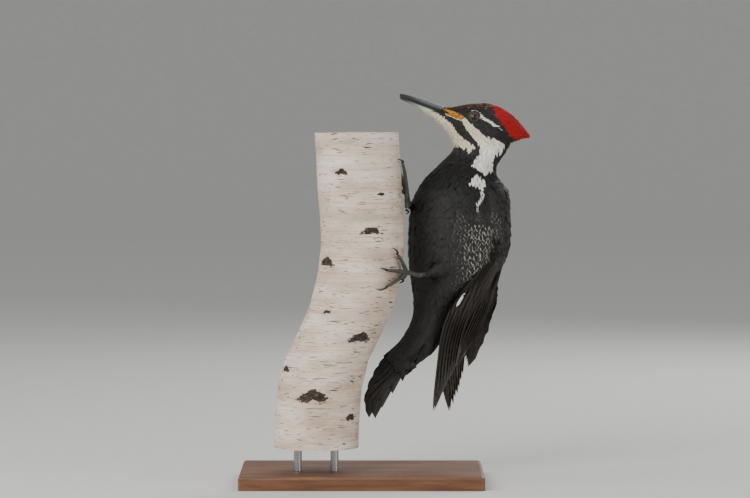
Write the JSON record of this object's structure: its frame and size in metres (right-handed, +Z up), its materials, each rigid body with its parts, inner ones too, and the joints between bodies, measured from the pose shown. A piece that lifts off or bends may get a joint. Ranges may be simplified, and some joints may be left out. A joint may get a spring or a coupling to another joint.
{
  "type": "life-size pileated woodpecker model on a perch",
  "caption": "Adult female pileated woodpecker clinging upright to a cut length of birch, bill raised to the left, on a flat wooden base with steel rods.",
  "frame": {"origin": "middle of the underside of the stand's base", "axes": "+Z up, the bill points to -X, and the bird's left side faces -Y"},
  "size_m": [0.2882, 0.1887, 0.3838],
  "materials": {
    "plumage_black": "matt brownish-black body feathers with white neck, face stripes and flank bars",
    "plumage_red": "scarlet crest feathers",
    "flight_feathers": "satin brown-black wing and tail feathers with glossy shafts",
    "bill_slate": "slate-grey horn, lightly streaked",
    "bill_pale": "pale greenish-grey horn",
    "eye_glass": "wet glossy eye, black pupil and thin red-brown iris",
    "leg_scales": "grey scaly legs and toes",
    "claw_horn": "dark horn claws",
    "birch": "cream paper-birch bark with brown lenticels and pale cut ends",
    "stand_wood": "dark stained hardwood, satin",
    "stand_steel": "brushed steel rods"
  },
  "bodies": {
    "root": {"head": "plumage_black", "crest": "plumage_red", "bill_upper": "bill_slate", "bill_lower": "bill_pale", "eye_left": "eye_glass", "eye_right": "eye_glass", "neck": "plumage_black", "trunk": "plumage_black", "wing_left": "flight_feathers", "wing_right": "flight_feathers", "tail": "flight_feathers", "thigh_left": "plumage_black", "thigh_right": "plumage_black", "foot_left": "leg_scales", "foot_right": "leg_scales", "claw_left_1": "claw_horn", "claw_left_2": "claw_horn", "claw_left_3": "claw_horn", "claw_left_4": "claw_horn", "claw_right_1": "claw_horn", "claw_right_2": "claw_horn", "claw_right_3": "claw_horn", "claw_right_4": "claw_horn", "perch_log": "birch", "stand_base": "stand_wood", "stand_rod_1": "stand_steel", "stand_rod_2": "stand_steel"}
  },
  "joints": []
}
